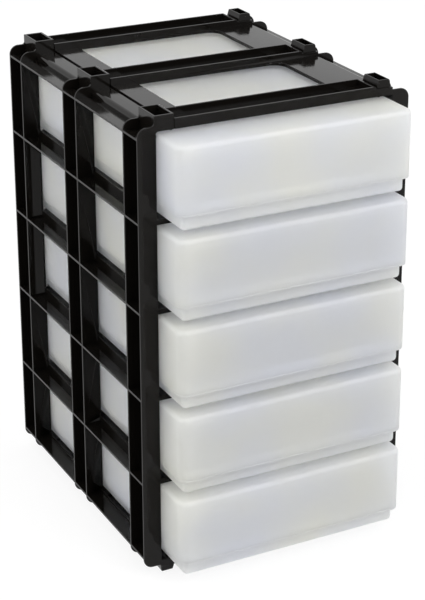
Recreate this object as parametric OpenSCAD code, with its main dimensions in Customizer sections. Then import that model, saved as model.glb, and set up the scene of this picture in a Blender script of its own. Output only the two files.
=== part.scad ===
// Stackable drawer frame with five closed cases that slide in from the front.
// X runs left to right, Y front to back, Z up. Millimetres.
// The origin lies on the floor, under the centre of the whole unit.

/* [Frame] */
// Width of the frame over its side posts
frame_w = 272.6; // [250:0.2:300]
// Depth of the frame, front to back
frame_d = 300; // [260:1:340]
// Wall thickness of the mouldings
wall = 2; // [1.6:0.1:2.4]
// How far posts and outer ribs stand out from the side wall
post_reach = 15.8; // [12:0.2:20]
// Depth of one post, front to back, over its two fins
post_d = 31.2; // [26:0.2:40]
// Corner radius at the outer ends of the fins
fin_r = 9; // [4:0.5:11]
// Height of the lowest outer rib above the end of the side, to its middle
end_rib_z = 10.1; // [9:0.1:14]
// Height of the wall left above and below each middle rib
sill_h = 7; // [5:0.5:14]
// Corner radius of the side windows
window_r = 2.5; // [1:0.5:8]

/* [Ledges] */
// How far each ledge reaches in from the side wall
ledge_reach = 15.2; // [12:0.2:22]
// Height of a ledge over its lip
ledge_h = 4.8; // [4:0.1:7]
// Height of the runners on both decks, in line with the ledges' lips
runner_h = 0.5; // [0.3:0.1:1.2]
// Width of the stop flange at the back of each side
stop_w = 10; // [6:0.5:15]

/* [Deck] */
// Height of the deck, from the end of the side to its inner face
deck_z = 4.8; // [4.6:0.1:7]
// Drop from the end of the side to the outer face of the deck's strips
deck_drop = 1.4; // [0.8:0.1:1.6]
// Width of the deck's side strips, from side wall to window
strip_w = 44.2; // [40:0.2:55]
// Corner radius of the deck's windows next to the side panel
deck_r = 13; // [4:0.5:20]
// Outer radius where the side turns into the deck
turn_r = 4.5; // [3:0.1:5]
// How far the cross bars' walls stand out beyond the end of the side
bar_rise = 4.9; // [3:0.1:5.5]
// Width of the two tongues that hold the halves in line
tongue_w = 7; // [4:0.2:10]

/* [Stacking feet] */
// How far plugs and sockets stand out beyond the end of the side
foot_h = 9.5; // [8:0.1:12]
// Width of a socket, left to right
socket_w = 19.2; // [17:0.2:22]
// How far the landing face stands out beyond the end of the side
landing_h = 2.5; // [2:0.1:4]
// Slant of a plug's inner side over its height
plug_slant = 1.8; // [0.6:0.1:2.4]

/* [Drawers] */
// Height of one drawer with its cover on
drawer_h = 77.4; // [60:0.2:100]
// How far the drawers stand out in front of the frame
drawer_front = 40.6; // [20:0.2:60]
// Radius of a drawer's upright corners
drawer_r = 10; // [8:0.5:16]
// Radius along a drawer's top edges
top_r = 4; // [2.5:0.5:7]
// Height of the set-back band at a drawer's foot
band_h = 15.8; // [12:0.2:24]
// How far the band is set back all round
band_inset = 5.4; // [4.6:0.2:7]
// Radius along the band's lower edges
foot_r = 3.5; // [2:0.5:4]
// Height of the tray's upstand inside the cover
upstand_h = 9; // [5:0.5:20]

/* [Clearances] */
// Free height above each drawer
headroom = 2.5; // [1.6:0.1:5]
// Gap between a drawer and the side wall, each side
side_gap = 1.2; // [0.6:0.1:2]
// Gap between a drawer's back and the stop flange
stop_gap = 0.3; // [0.2:0.1:2]
// Gap between a cover and the tray's upstand
cover_gap = 0.3; // [0.2:0.05:0.6]
// Gap between a plug and the socket it drops into, each side
plug_gap = 0.5; // [0.3:0.1:1]
// Gap along the seam between the two halves
seam_gap = 0.4; // [0.2:0.1:0.8]
// Gap between a tongue and the deck strip it lies on
lap_gap = 0.2; // [0.1:0.05:0.3]

/* [Hidden] */
$fn = 64;

levels = 5;
past = 1;

cell_h = drawer_h + headroom;
floor_z = deck_z + runner_h;
frame_h = 2 * floor_z + levels * cell_h + (levels - 1) * ledge_h;

web_x0 = post_reach;
web_x1 = post_reach + wall;
seam_x = web_x0 + socket_w;
bar_end = frame_w - seam_x - seam_gap;
window_x = web_x0 + strip_w;

landing_x0 = web_x0 + wall * 0.75;
landing_x1 = seam_x + seam_gap + wall;

drawer_w = frame_w - 2 * (web_x1 + side_gap);
drawer_d = drawer_front + frame_d - wall - stop_gap;

// The foot's edge radius, kept inside the band's corners.
corner_share = 0.8;
foot_edge = min(foot_r, corner_share * (drawer_r - band_inset));

black = [0.06, 0.06, 0.055];
frosted = [0.82, 0.84, 0.84, 0.6];

// Front edge of each post and cross bar, front to back.
post_ys = [0, (frame_d - post_d) / 2, frame_d - post_d];

// Middle height of rib or ledge i, counted from the bottom; 0 and the last are the end ribs.
function rib_z(i) =
    i == 0 ? end_rib_z :
    i == levels ? frame_h - end_rib_z :
    floor_z + i * cell_h + (i - 0.5) * ledge_h;

// Lower and upper edge of the side window above rib i.
function window_z0(i) = rib_z(i) + (i == 0 ? wall : sill_h);
function window_z1(i) = rib_z(i + 1) - (i == levels - 1 ? wall : sill_h);

// Height of the face that drawer k stands on; drawer 1 is the top one.
function seat_z(k) = floor_z + (levels - k) * (cell_h + ledge_h);

module along_y(y0, y1) {
    translate([0, y1, 0])
        rotate([90, 0, 0])
            linear_extrude(y1 - y0)
                children();
}

module along_x(x0, x1) {
    translate([x0, 0, 0])
        rotate([90, 0, 90])
            linear_extrude(x1 - x0)
                children();
}

module rounded_rect(w, d, r) {
    translate([r, 0])
        square([w - 2 * r, d]);
    translate([0, r])
        square([w, d - 2 * r]);
    for (x = [r, w - r], y = [r, d - r])
        translate([x, y])
            circle(r = r);
}

// Quarter ring that turns the side wall into a deck or flange.
module turn() {
    intersection() {
        difference() {
            circle(r = turn_r);
            circle(r = turn_r - wall);
        }
        translate([-turn_r, -turn_r])
            square(turn_r);
    }
}

// Section of the side: flange at the free end, upright wall, deck strip at the bottom.
module side_section() {
    flange_top = frame_h - deck_z + wall;
    translate([web_x0, deck_drop + turn_r])
        square([wall, flange_top - deck_drop - 2 * turn_r]);
    translate([web_x0 + turn_r, deck_drop + turn_r])
        turn();
    translate([web_x0 + turn_r, flange_top - turn_r])
        mirror([0, 1])
            turn();
    translate([web_x0 + turn_r, flange_top - wall])
        square([socket_w - turn_r, wall]);
    translate([web_x0 + turn_r, deck_drop])
        square([strip_w - turn_r, wall]);
}

module side_window(y0, y1, z0, z1) {
    translate([web_x0 - past, 0, 0])
        along_x(0, wall + 2 * past)
            translate([y0, z0])
                rounded_rect(y1 - y0, z1 - z0, window_r);
}

module side_wall() {
    difference() {
        along_y(0, frame_d)
            side_section();
        for (b = [0, 1], i = [0 : levels - 1])
            side_window(post_ys[b] + post_d, post_ys[b + 1], window_z0(i), window_z1(i));
    }
    for (y = post_ys)
        translate([web_x0, y, 0])
            cube([wall, post_d, frame_h]);
}

// One upright fin, rounded at both outer corners.
module fin_section() {
    translate([fin_r, 0])
        square([web_x0 - fin_r + wall / 2, frame_h]);
    translate([0, fin_r])
        square([web_x0, frame_h - 2 * fin_r]);
    for (z = [fin_r, frame_h - fin_r])
        translate([fin_r, z])
            circle(r = fin_r);
}

module posts() {
    for (y = post_ys, side = [0, post_d - wall])
        along_y(y + side, y + side + wall)
            fin_section();
}

module outer_ribs() {
    for (i = [0 : levels])
        translate([0, 0, rib_z(i) - wall / 2])
            cube([web_x0 + wall / 2, frame_d, wall]);
}

// Flat shelf with a lip above and below, so it also carries a drawer when turned over.
module ledges() {
    for (i = [1 : levels - 1]) {
        translate([web_x0 + wall / 2, 0, rib_z(i) - wall / 2])
            cube([ledge_reach + wall / 2, frame_d, wall]);
        translate([web_x1 + ledge_reach - wall, 0, rib_z(i) - ledge_h / 2])
            cube([wall, frame_d, ledge_h]);
        translate([web_x0 + wall / 2, 0, rib_z(i) - ledge_h / 2])
            cube([ledge_reach + wall / 2, wall, ledge_h]);
    }
}

// Low rails that carry the lowest drawer; turned over, they guide the top one.
module runners() {
    x = web_x1 + ledge_reach - wall;
    translate([x, 0, deck_drop + wall / 2])
        cube([wall, frame_d, floor_z - deck_drop - wall / 2]);
    translate([x, 0, frame_h - floor_z])
        cube([wall, frame_d, runner_h + wall / 2]);
}

module rear_stop() {
    translate([web_x0 + wall / 2, frame_d - wall, deck_z - wall / 2])
        cube([stop_w + wall / 2, wall, frame_h - 2 * deck_z + wall]);
}

// Rims that stiffen the deck strips along the windows, level with the bars' inner faces.
module strip_rims() {
    for (b = [0, 1]) {
        y0 = post_ys[b] + post_d - wall / 2;
        y1 = post_ys[b + 1] + wall / 2;
        for (x = [window_x - wall, frame_w - window_x])
            translate([x, y0, deck_drop])
                cube([wall, y1 - y0, deck_z - deck_drop]);
    }
}

module far_strip() {
    translate([frame_w - window_x, 0, deck_drop])
        cube([bar_end - frame_w + window_x, frame_d, wall]);
}

// Deck window: round corners next to the side wall, square ones at the far strip.
module deck_window(y0, y1) {
    length = frame_w - 2 * window_x;
    translate([window_x, y0]) {
        translate([deck_r, 0])
            square([length - deck_r, y1 - y0]);
        translate([0, deck_r])
            square([length, y1 - y0 - 2 * deck_r]);
        for (y = [deck_r, y1 - y0 - deck_r])
            translate([deck_r, y])
                circle(r = deck_r);
    }
}

// Corner webs that leave the deck windows' round corners.
module corner_webs() {
    for (b = [0, 1]) {
        y0 = post_ys[b] + post_d;
        y1 = post_ys[b + 1];
        translate([0, 0, deck_drop])
            linear_extrude(deck_z - deck_drop)
                difference() {
                    translate([window_x - wall / 2, y0 - wall / 2])
                        square([deck_r + wall / 2, y1 - y0 + wall]);
                    deck_window(y0, y1);
                }
    }
}

// Upside-down channel: smooth face towards the drawers, open side outwards.
module cross_bars() {
    for (y = post_ys)
        translate([landing_x1 - wall, y, 0])
            difference() {
                translate([0, 0, -bar_rise])
                    cube([bar_end - landing_x1 + wall, post_d, deck_z + bar_rise]);
                translate([wall, wall, -bar_rise - past])
                    cube([frame_w, post_d - 2 * wall, deck_z - wall + bar_rise + past]);
            }
}

module landings() {
    for (y = post_ys)
        translate([landing_x0, y, -landing_h])
            cube([landing_x1 - landing_x0 - wall / 2, post_d, deck_z + landing_h]);
}

// Plug seen from the front, tip at the bottom; inset draws it in for the hollow.
module plug_front(inset, tip, top) {
    x0 = web_x1 + plug_gap + inset;
    x1 = seam_x - wall - plug_gap - inset;
    lead = wall * 0.7;
    polygon([
        [x0, top],
        [x0, -landing_h],
        [x0 + lead / 3, tip + lead],
        [x0 + lead, tip],
        [x1 - plug_slant, tip],
        [x1 - plug_slant + lead / 3, tip + lead],
        [x1, -landing_h],
        [x1, top]
    ]);
}

// Plug seen from the side.
module plug_side(inset, tip, top) {
    y0 = wall + plug_gap + inset;
    y1 = post_d - wall - plug_gap - inset;
    lead = wall * 0.4;
    polygon([
        [y0, top],
        [y0, -landing_h],
        [y0 + lead, tip],
        [y1 - lead, tip],
        [y1, -landing_h],
        [y1, top]
    ]);
}

module plug_body(inset, tip, top) {
    for (y = post_ys)
        intersection() {
            along_y(y, y + post_d)
                plug_front(inset, tip, top);
            along_x(0, seam_x)
                translate([y, 0])
                    plug_side(inset, tip, top);
        }
}

module plugs() {
    plug_body(0, -foot_h, 0);
}

module plug_hollows() {
    plug_body(wall * 0.8, -foot_h - past, deck_z - wall);
}

// Open tubes on the free end of the side, above the posts.
module sockets() {
    base_z = frame_h - deck_z;
    for (y = post_ys)
        translate([web_x0, y, base_z])
            difference() {
                cube([socket_w, post_d, deck_z + foot_h]);
                translate([wall, wall, wall])
                    cube([socket_w - 2 * wall, post_d - 2 * wall, deck_z + foot_h]);
            }
}

// Flat tongues that reach under the other half's far strip.
module tongues() {
    thick = deck_z - deck_drop - wall - lap_gap;
    for (b = [0, 1]) {
        y0 = post_ys[b] + post_d + seam_gap;
        y1 = post_ys[b + 1] - seam_gap;
        translate([seam_x - wall, y0, frame_h - deck_z])
            cube([tongue_w + wall, y1 - y0, thick]);
    }
}

// One moulding makes both halves: a side panel and, square to it, a deck.
module frame_half() {
    difference() {
        union() {
            side_wall();
            posts();
            outer_ribs();
            ledges();
            runners();
            rear_stop();
            strip_rims();
            far_strip();
            corner_webs();
            cross_bars();
            landings();
            plugs();
            sockets();
            tongues();
        }
        plug_hollows();
    }
}

// Moves the frame's corner from the origin to its place over the floor.
module placed() {
    translate([-frame_w / 2, (drawer_front - frame_d) / 2, foot_h])
        children();
}

module frame_left_and_bottom() {
    color(black)
        placed()
            frame_half();
}

module frame_right_and_top() {
    color(black)
        placed()
            translate([frame_w, 0, frame_h])
                rotate([0, 180, 0])
                    frame_half();
}

// Outline of a drawer, drawn in by inset all round.
module drawer_outline(inset) {
    translate([inset, inset])
        rounded_rect(drawer_w - 2 * inset, drawer_d - 2 * inset, drawer_r - inset);
}

// Layer of that outline, as high as r, with its upper edges rounded to r all round.
module rounded_layer(inset, r) {
    module half_profile(length) {
        square([length - r, r]);
        intersection() {
            translate([length - r, 0])
                circle(r = r);
            square([length, r]);
        }
    }
    for (x = [drawer_r, drawer_w - drawer_r], y = [drawer_r, drawer_d - drawer_r])
        translate([x, y, 0])
            rotate_extrude()
                half_profile(drawer_r - inset);
    along_x(drawer_r, drawer_w - drawer_r) {
        translate([drawer_d / 2, 0])
            half_profile(drawer_d / 2 - inset);
        translate([drawer_d / 2, 0])
            mirror([1, 0])
                half_profile(drawer_d / 2 - inset);
    }
    along_y(drawer_r, drawer_d - drawer_r) {
        translate([drawer_w / 2, 0])
            half_profile(drawer_w / 2 - inset);
        translate([drawer_w / 2, 0])
            mirror([1, 0])
                half_profile(drawer_w / 2 - inset);
    }
}

module drawer_place(k) {
    placed()
        translate([web_x1 + side_gap, -drawer_front, seat_z(k)])
            children();
}

module cover() {
    difference() {
        union() {
            translate([0, 0, band_h])
                linear_extrude(drawer_h - top_r - band_h)
                    drawer_outline(0);
            translate([0, 0, drawer_h - top_r])
                rounded_layer(0, top_r);
        }
        translate([0, 0, band_h - past])
            linear_extrude(drawer_h - wall - band_h + past)
                drawer_outline(wall);
    }
}

module tray() {
    upstand_inset = wall + cover_gap;
    difference() {
        union() {
            translate([0, 0, foot_edge])
                mirror([0, 0, 1])
                    rounded_layer(band_inset, foot_edge);
            translate([0, 0, foot_edge])
                linear_extrude(band_h - foot_edge - wall / 2)
                    drawer_outline(band_inset);
            translate([0, 0, band_h - wall])
                linear_extrude(wall)
                    drawer_outline(0);
            translate([0, 0, band_h - wall / 2])
                linear_extrude(upstand_h + wall / 2)
                    drawer_outline(upstand_inset);
        }
        translate([0, 0, wall])
            linear_extrude(band_h)
                drawer_outline(band_inset + wall);
        translate([0, 0, band_h])
            linear_extrude(upstand_h + past)
                drawer_outline(upstand_inset + wall);
    }
}

module drawer_tray(k) {
    color(frosted)
        drawer_place(k)
            tray();
}

module drawer_cover(k) {
    color(frosted)
        drawer_place(k)
            cover();
}

frame_left_and_bottom();
frame_right_and_top();
drawer_tray(1);  // drawer_1_tray
drawer_cover(1);  // drawer_1_cover
drawer_tray(2);  // drawer_2_tray
drawer_cover(2);  // drawer_2_cover
drawer_tray(3);  // drawer_3_tray
drawer_cover(3);  // drawer_3_cover
drawer_tray(4);  // drawer_4_tray
drawer_cover(4);  // drawer_4_cover
drawer_tray(5);  // drawer_5_tray
drawer_cover(5);  // drawer_5_cover
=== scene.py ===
# %% [markdown]
# # A stackable drawer frame with five frosted cases
# The object is a black injection-moulded frame that holds five frosted cases. The frame's
# two halves and the ten case mouldings come ready made from the engineering model, where
# the drawers also learn to slide. This lesson is about looks: soft edges that catch the
# light, glossy black polystyrene and cloudy polypropylene under a plain studio light.
# Nothing in the engineering model is moved. Its parts are loaded first.

# %% Load the engineering model
import bmesh
import bpy
import math
from mathutils import Matrix, Vector


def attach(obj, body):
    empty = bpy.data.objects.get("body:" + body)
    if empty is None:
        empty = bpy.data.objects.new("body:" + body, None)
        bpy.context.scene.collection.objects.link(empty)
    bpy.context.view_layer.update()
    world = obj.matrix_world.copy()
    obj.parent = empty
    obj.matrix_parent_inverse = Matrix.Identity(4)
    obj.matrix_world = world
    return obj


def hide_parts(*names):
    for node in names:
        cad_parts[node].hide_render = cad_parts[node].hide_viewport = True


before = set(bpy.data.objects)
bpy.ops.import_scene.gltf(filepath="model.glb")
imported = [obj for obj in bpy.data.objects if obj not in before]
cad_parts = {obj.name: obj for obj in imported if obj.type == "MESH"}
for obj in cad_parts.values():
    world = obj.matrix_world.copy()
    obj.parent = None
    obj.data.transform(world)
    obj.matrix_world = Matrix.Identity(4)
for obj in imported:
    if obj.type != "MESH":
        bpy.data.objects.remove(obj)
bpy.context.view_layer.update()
print("parts:", sorted(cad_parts))

# %% [markdown]
# ## The camera
# The photograph was taken from the front left, from a little above the top, through a long
# lens with a strong shift, which keeps the upright edges nearly parallel. A shift that
# strong would push the object out of every other view, so this camera keeps only a small
# part of it and looks down more steeply instead. The price is a small difference: the foot
# of the lowest case comes out a little higher than in the photograph.
#
# The focal length is written in pixels of the picture. A thing that is N times its own
# width away then shows the focal length divided by N pixels wide.

# %% Camera lens
PICTURE_PX = (425, 600)
LENS_PX = 1820.0
CENTRE_PX = (216.5, 210.0)
SENSOR_MM = 36.0
NEAREST, FARTHEST = 0.05, 50.0

width_px, height_px = PICTURE_PX
camera_data = bpy.data.cameras.new("camera")
camera = bpy.data.objects.new("camera", camera_data)
bpy.context.scene.collection.objects.link(camera)
bpy.context.scene.camera = camera
camera_data.sensor_width = SENSOR_MM
camera_data.lens = LENS_PX * SENSOR_MM / height_px
camera_data.shift_x = (width_px / 2 - CENTRE_PX[0]) / height_px
camera_data.shift_y = (CENTRE_PX[1] - height_px / 2) / height_px
camera_data.clip_start, camera_data.clip_end = NEAREST, FARTHEST
print("lens mm", round(camera_data.lens, 1), "shift", round(camera_data.shift_x, 3),
      round(camera_data.shift_y, 3))

# %% [markdown]
# The camera's place is written as a distance from the frame's lower front left corner,
# because that corner was the easiest point to find in the photograph. The camera could be
# turned by an empty that it tracks, but three vectors say it more plainly: where it looks,
# what is to its right, and what is up. The small roll turns the last two about the first.
# The three vectors are the rows of the camera's turn, with the viewing direction reversed,
# because a camera looks along its own minus Z.

# %% Camera place and direction
FRAME_CORNER = Vector((-0.1363, -0.1297, 0.0095))
CAMERA_FROM_CORNER = Vector((-0.6083, -1.3356, 0.9069))
AZIMUTH, ELEVATION, ROLL = (math.radians(a) for a in (27.113, 20.574, -0.056))

camera.location = FRAME_CORNER + CAMERA_FROM_CORNER
forward = Vector((math.sin(AZIMUTH) * math.cos(ELEVATION),
                  math.cos(AZIMUTH) * math.cos(ELEVATION), -math.sin(ELEVATION)))
level_right = forward.cross(Vector((0, 0, 1))).normalized()
level_up = level_right.cross(forward)
right = math.cos(ROLL) * level_right + math.sin(ROLL) * level_up
up = math.cos(ROLL) * level_up - math.sin(ROLL) * level_right
camera.rotation_euler = Matrix((right, up, -forward)).transposed().to_euler()
print("camera at", [round(v, 3) for v in camera.location])

# %% [markdown]
# ## Colours and nodes
# Colours are written as the hex values that a picture editor shows. One function turns
# them into the linear values that the renderer works with. A second one adds a node, sets
# its sockets and its settings, and links it where a socket is given instead of a number.

# %% Colour and node helpers
def hex_colour(code):
    parts = [int(code[i:i + 2], 16) / 255 for i in (0, 2, 4)]
    linear = [c / 12.92 if c <= 0.04045 else ((c + 0.055) / 1.055) ** 2.4 for c in parts]
    return (*linear, 1.0)


def add_node(tree, kind, inputs=None, **settings):
    node = tree.nodes.new(kind)
    for name, value in settings.items():
        setattr(node, name, value)
    for name, value in (inputs or {}).items():
        if isinstance(value, bpy.types.NodeSocket):
            tree.links.new(value, node.inputs[name])
        else:
            node.inputs[name].default_value = value
    return node


def start_material(name):
    material = bpy.data.materials.new(name)
    material.use_nodes = True
    material.node_tree.nodes.clear()
    return material, material.node_tree


print("mid grey #808080 in linear values:", [round(c, 4) for c in hex_colour("808080")[:3]])

# %% [markdown]
# ## Black polystyrene, injection moulded in a polished mould
# The frame is deep black and mirrors its surroundings: its faces look almost black from
# the front, and pale grey where they are seen at a low angle. A polished mould gives that
# gloss. The flat walls are never quite flat, because the plastic shrinks as it cools, so
# mirrored edges waver a little. A noise of about 45 mm gives that slow waver, and a finer
# one of about 4 mm gives the faint haze of handling in the roughness. Its colour alone
# would leave it a plain black.
#
# A noise keeps mostly between 0.3 and 0.7, so that range is spread over the roughness. The
# tent below is white all round, which would turn such a mirror grey, so its mirror level
# is held down until the faces are about as black as in the photograph.

# %% Black polystyrene
SLOW_WAVER = 1 / 0.045
FINE_HAZE = 1 / 0.004
NOISE_LOW, NOISE_HIGH = 0.3, 0.7
MIRROR_LEVEL = 0.13

black, tree = start_material("black_polystyrene_moulded")
coords = add_node(tree, "ShaderNodeTexCoord")
waver = add_node(tree, "ShaderNodeTexNoise", {
    "Vector": coords.outputs["Object"], "Scale": SLOW_WAVER, "Detail": 1.0})
waves = add_node(tree, "ShaderNodeBump", {
    "Height": waver.outputs["Fac"], "Strength": 0.12, "Distance": 0.0006})
haze = add_node(tree, "ShaderNodeTexNoise", {
    "Vector": coords.outputs["Object"], "Scale": FINE_HAZE, "Detail": 3.0})
gloss = add_node(tree, "ShaderNodeMapRange", {
    "Value": haze.outputs["Fac"], "From Min": NOISE_LOW, "From Max": NOISE_HIGH,
    "To Min": 0.07, "To Max": 0.15})
skin = add_node(tree, "ShaderNodeBsdfPrincipled", {
    "Base Color": hex_colour("110f0d"), "Roughness": gloss.outputs["Result"],
    "IOR": 1.59, "Specular IOR Level": MIRROR_LEVEL, "Normal": waves.outputs["Normal"]})
add_node(tree, "ShaderNodeOutputMaterial", {"Surface": skin.outputs["BSDF"]})
print(black.name, "nodes:", len(tree.nodes))

# %% [markdown]
# ## Natural polypropylene, injection moulded in a finely blasted mould
# The cases are milky: light enters them, scatters, and shows what stands close behind the
# wall as a soft shade. The post beside a case draws a blue-grey band on its front for that
# reason. Two shaders share this work. A translucent one passes light on in all directions,
# which is the milk, and a rough glass one with some white of its own lets near things show
# through, and gives the skin its dull gloss. Where the wall is a little thicker it is a
# little warmer, and thin places turn bluish, which a slow noise of about 90 mm gives. The
# blasted skin has a grain too fine to draw, so one of 0.8 mm stands for it.

# %% Frosted polypropylene
SLOW_CLOUD = 1 / 0.09
BLASTED_GRAIN = 1 / 0.0008
MILK = 0.5

frosted, tree = start_material("frosted_polypropylene_moulded")
coords = add_node(tree, "ShaderNodeTexCoord")
cloud = add_node(tree, "ShaderNodeTexNoise", {
    "Vector": coords.outputs["Object"], "Scale": SLOW_CLOUD, "Detail": 2.0})
tone = add_node(tree, "ShaderNodeValToRGB", {"Fac": cloud.outputs["Fac"]})
tones = ((0.35, "f9fafd"), (0.65, "fdfdfa"))
for stop, (position, colour) in zip(tone.color_ramp.elements, tones):
    stop.position = position
    stop.color = hex_colour(colour)
grain = add_node(tree, "ShaderNodeTexNoise", {
    "Vector": coords.outputs["Object"], "Scale": BLASTED_GRAIN, "Detail": 1.0})
bump = add_node(tree, "ShaderNodeBump", {
    "Height": grain.outputs["Fac"], "Strength": 0.15, "Distance": 0.0001})
matt = add_node(tree, "ShaderNodeMapRange", {
    "Value": grain.outputs["Fac"], "From Min": NOISE_LOW, "From Max": NOISE_HIGH,
    "To Min": 0.34, "To Max": 0.42})
skin = add_node(tree, "ShaderNodeBsdfPrincipled", {
    "Base Color": tone.outputs["Color"], "Roughness": matt.outputs["Result"],
    "IOR": 1.49, "Transmission Weight": 0.6, "Normal": bump.outputs["Normal"]})
milk = add_node(tree, "ShaderNodeBsdfTranslucent", {"Color": tone.outputs["Color"]})
wall = add_node(tree, "ShaderNodeMixShader", {
    "Fac": MILK, 1: skin.outputs["BSDF"], 2: milk.outputs["BSDF"]})
add_node(tree, "ShaderNodeOutputMaterial", {"Surface": wall.outputs["Shader"]})
print(frosted.name, "nodes:", len(tree.nodes))

# %% [markdown]
# ## Mouldings with soft edges
# No moulded edge is perfectly sharp: the mould's cutter and the cooling plastic leave a
# radius of a few tenths of a millimetre. That radius draws the thin light line along every
# rib in the photograph, so it is worth having as geometry. The engineering model has sharp
# edges, so each of its mouldings is copied, and the copy stands in for it. The copy's
# loose triangles are merged and the flat ones joined into whole faces, so that a bevel
# meets real edges only.
#
# Only the outer edges get the radius. Inner corners stay as they are, because a rounded
# inner corner would grow over the narrow steps beside it. An edge says by its bevel weight
# whether it is to be rounded.

# %% Copying one moulding and choosing its edges
OUTER_EDGE = math.radians(35)
FLAT = math.radians(0.6)
SMOOTH = math.radians(32)
MERGE_WITHIN = 1e-6


def cleaned_copy(node):
    mesh = bmesh.new()
    mesh.from_mesh(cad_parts[node].data)
    bmesh.ops.remove_doubles(mesh, verts=mesh.verts, dist=MERGE_WITHIN)
    bmesh.ops.dissolve_limit(mesh, angle_limit=FLAT, verts=mesh.verts, edges=mesh.edges)
    weight = mesh.edges.layers.float.new("bevel_weight_edge")
    for edge in mesh.edges:
        turn = edge.calc_face_angle_signed(0)
        edge[weight] = 1.0 if turn > OUTER_EDGE else 0.0
        edge.smooth = abs(turn) < SMOOTH
    for face in mesh.faces:
        face.smooth = True
    return mesh


print("rounded: outer edges that turn by more than", round(math.degrees(OUTER_EDGE)), "degrees")

# %% [markdown]
# The Bevel modifier reads the weights and makes the radius. It hardens the normals as well,
# so that the large flat faces stay flat while the rounded strips shade smoothly into them.

# %% Dressing one moulding
BEVEL_STEPS = 2


def add_piece(name, mesh, finish):
    data = bpy.data.meshes.new(name)
    mesh.to_mesh(data)
    mesh.free()
    data.materials.append(finish)
    piece = bpy.data.objects.new(name, data)
    bpy.context.scene.collection.objects.link(piece)
    return piece


def soft_moulding(node, radius, finish, body):
    piece = add_piece(node + "_moulding", cleaned_copy(node), finish)
    edges = piece.modifiers.new("soft_edges", "BEVEL")
    edges.limit_method = "WEIGHT"
    edges.width = radius
    edges.segments = BEVEL_STEPS
    edges.profile = 0.5
    edges.use_clamp_overlap = False
    edges.harden_normals = True
    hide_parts(node)
    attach(piece, body)
    return piece


print("strips in each rounded edge:", BEVEL_STEPS)

# %% [markdown]
# ## The two halves of the frame
# Both halves come from one mould. The left one stands as it was moulded, with its deck at
# the bottom, and the right one is the same moulding turned over.

# %% Frame halves
FRAME_EDGE = 0.0004

for half in ("frame_left_and_bottom", "frame_right_and_top"):
    piece = soft_moulding(half, FRAME_EDGE, black, "frame")
    print(piece.name, "faces before the bevel:", len(piece.data.polygons))

# %% [markdown]
# ## Fillets on the posts
# Where a post's two fins run up against the socket that stands on the post, the mould has a
# small hollow radius, so that the plastic flows well and the corner does not crack. It is a
# detail of two millimetres, so each one is a thin prism: its section has a square corner
# in the angle between fin and socket, and a hollow quarter circle on the open side. One
# point is spun to draw the quarter circle, three more close the section behind it, and the
# face is pushed back by nearly the fin's thickness. All sizes are in millimetres, from the
# lower front left corner of the left half.

# %% One fillet
MM = 0.001
FRAME_W, FRAME_H, FRAME_D = 272.6, 429.3, 300.0
POST_D, FIN, SOCKET_X = 31.2, 2.0, 15.8
FILLET, SUNK, ARC_STEPS = 2.2, 0.5, 8
FIN_INSET = 0.05


def in_frame(x, y, z):
    return FRAME_CORNER + Vector((x, y, z)) * MM


def points_of(result, key="geom"):
    return [part for part in result[key] if isinstance(part, bmesh.types.BMVert)]


mesh = bmesh.new()
first = mesh.verts.new(in_frame(SOCKET_X - FILLET, FIN_INSET, FRAME_H))
arc = bmesh.ops.spin(mesh, geom=[first], axis=(0, -1, 0), angle=math.radians(90),
                     cent=in_frame(SOCKET_X - FILLET, FIN_INSET, FRAME_H + FILLET),
                     steps=ARC_STEPS)
corner = [mesh.verts.new(in_frame(x, FIN_INSET, z)) for x, z in (
    (SOCKET_X + SUNK, FRAME_H + FILLET), (SOCKET_X + SUNK, FRAME_H - SUNK),
    (SOCKET_X - FILLET, FRAME_H - SUNK))]
outline = [*points_of(arc, "geom_last"), *corner, first]
for ends in zip(outline, outline[1:]):
    mesh.edges.new(ends)
bmesh.ops.contextual_create(mesh, geom=mesh.edges[:])
sweep = bmesh.ops.extrude_face_region(mesh, geom=mesh.faces[:])
bmesh.ops.translate(mesh, verts=points_of(sweep), vec=(0, (FIN - 2 * FIN_INSET) * MM, 0))
faces_each = len(mesh.faces)
print("faces of one fillet:", faces_each)

# %% [markdown]
# The other eleven are copies. The first is copied to the post's second fin, that pair to
# the two other posts, and all six are turned over with the right half, because that is the
# same moulding upside down.

# %% All twelve fillets
POST_STEP = (FRAME_D - POST_D) / 2


def copy_all(mesh):
    return points_of(bmesh.ops.duplicate(mesh, geom=[*mesh.verts, *mesh.edges, *mesh.faces]))


bmesh.ops.translate(mesh, verts=copy_all(mesh), vec=(0, (POST_D - FIN) * MM, 0))
pair = [*mesh.verts, *mesh.edges, *mesh.faces]
for step in (1, 2):
    moved = points_of(bmesh.ops.duplicate(mesh, geom=pair))
    bmesh.ops.translate(mesh, verts=moved, vec=(0, step * POST_STEP * MM, 0))
bmesh.ops.rotate(mesh, verts=copy_all(mesh), cent=in_frame(FRAME_W / 2, 0, FRAME_H / 2),
                 matrix=Matrix.Rotation(math.pi, 3, "Y"))
bmesh.ops.recalc_face_normals(mesh, faces=mesh.faces)
fillets = add_piece("post_fillets", mesh, black)
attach(fillets, "frame")
print("fillets:", len(fillets.data.polygons) // faces_each)

# %% [markdown]
# ## The cases
# Each case is a shallow tray with a deep cover over its upstand. The step where the cover
# ends draws a thin line above the set-back foot of the tray.

# %% Covers and trays
CASES = 5
CASE_EDGE = 0.0004

for number in range(1, CASES + 1):
    for part in ("tray", "cover"):
        piece = soft_moulding(f"drawer_{number}_{part}", CASE_EDGE, frosted,
                              f"drawer_{number}")
print("cases dressed:", number)

# %% [markdown]
# ## Who sees the white
# The photograph's ground is pure white. More light on the object would give that too, but
# would wash the object out. So floor and world have a white of their own that only three
# kinds of ray see: those from the camera, those from a mirror, and those through clear
# plastic. One function makes the switch for both.

# %% Switch for the white
WHITE_RAYS = ("Is Camera Ray", "Is Glossy Ray", "Is Transmission Ray")


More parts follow.
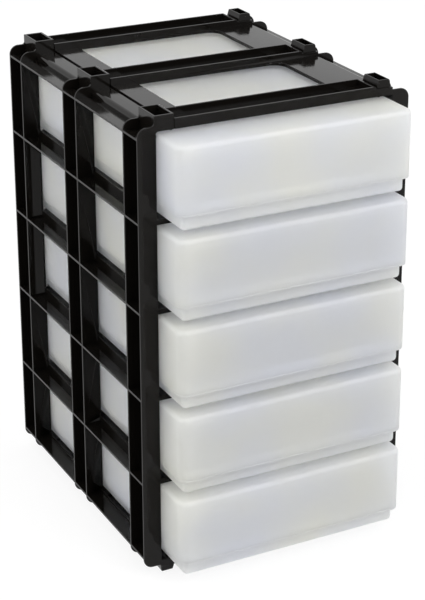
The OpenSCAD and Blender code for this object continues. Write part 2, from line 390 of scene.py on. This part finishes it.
def sees_white(tree):
    rays = add_node(tree, "ShaderNodeLightPath")
    seen, *others = (rays.outputs[kind] for kind in WHITE_RAYS)
    for other in others:
        either = add_node(tree, "ShaderNodeMath", {0: seen, 1: other}, operation="MAXIMUM")
        seen = either.outputs["Value"]
    return seen


print("rays that see the white:", WHITE_RAYS)

# %% [markdown]
# ## Floor
# The floor is a large sheet of white paper. Those three kinds of ray see most of its white
# as a light of its own, and the rest as paper that takes the object's soft shadow. The
# glow is a little stronger than 1, to make up for the paper's part, which is a little
# darker than white. All other rays meet plain paper.

# %% White paper floor
PAPER_HALF = 6.0
GLOW_SHARE = 0.80
GLOW_STRENGTH = 1.08

paper, tree = start_material("white_studio_paper")
matt_paper = add_node(tree, "ShaderNodeBsdfDiffuse", {"Color": hex_colour("e6e6e6")})
white_glow = add_node(tree, "ShaderNodeEmission", {
    "Color": hex_colour("ffffff"), "Strength": GLOW_STRENGTH})
share = add_node(tree, "ShaderNodeMath", {0: sees_white(tree), 1: GLOW_SHARE},
                 operation="MULTIPLY")
mixed = add_node(tree, "ShaderNodeMixShader", {
    "Fac": share.outputs["Value"], 1: matt_paper.outputs["BSDF"],
    2: white_glow.outputs["Emission"]})
add_node(tree, "ShaderNodeOutputMaterial", {"Surface": mixed.outputs["Shader"]})

mesh = bmesh.new()
bmesh.ops.create_grid(mesh, x_segments=1, y_segments=1, size=PAPER_HALF)
floor = add_piece("floor", mesh, paper)
print("floor, m:", 2 * PAPER_HALF)

# %% [markdown]
# ## Light
# The world is a white tent. What the camera and mirrors see of it is pure white, and the
# light that it gives is a little weaker, to leave room for two soft lamps.

# %% World
TENT_LIGHT = 0.88

world = bpy.data.worlds.new("white_tent")
bpy.context.scene.world = world
world.use_nodes = True
tree = world.node_tree
tree.nodes.clear()
strength = add_node(tree, "ShaderNodeMapRange", {
    "Value": sees_white(tree), "To Min": TENT_LIGHT, "To Max": 1.0})
tent = add_node(tree, "ShaderNodeBackground", {
    "Color": hex_colour("ffffff"), "Strength": strength.outputs["Result"]})
add_node(tree, "ShaderNodeOutputWorld", {"Surface": tent.outputs["Background"]})
print("light of the tent:", TENT_LIGHT)

# %% [markdown]
# One lamp hangs above and in front. It stands close, so that its light falls off on the
# way down and the top case is the brightest, as in the photograph. A weaker one on the
# left gives the ribs and fins of the side their light edges. Both are large discs, because
# the photograph's shadows have no sharp border.

# %% Soft lamps
def soft_lamp(name, place, target, size, watts):
    data = bpy.data.lights.new(name, "AREA")
    data.shape = "DISK"
    data.size = size
    data.energy = watts
    lamp = bpy.data.objects.new(name, data)
    bpy.context.scene.collection.objects.link(lamp)
    lamp.location = place
    aim = Vector(target) - lamp.location
    lamp.rotation_euler = aim.to_track_quat("-Z", "Y").to_euler()
    print(name, "stands", round(aim.length, 2), "m from the cases")


soft_lamp("front_lamp", place=(0.25, -1.15, 1.05), target=(0.0, -0.1, 0.3),
          size=0.9, watts=8.0)
soft_lamp("side_lamp", place=(-1.2, 0.35, 0.95), target=(-0.1, 0.0, 0.25),
          size=1.0, watts=5.0)

# %% [markdown]
# ## The end
# The view transform is Standard, so a colour is shown as it is written.

# %% View
bpy.context.scene.view_settings.view_transform = "Standard"
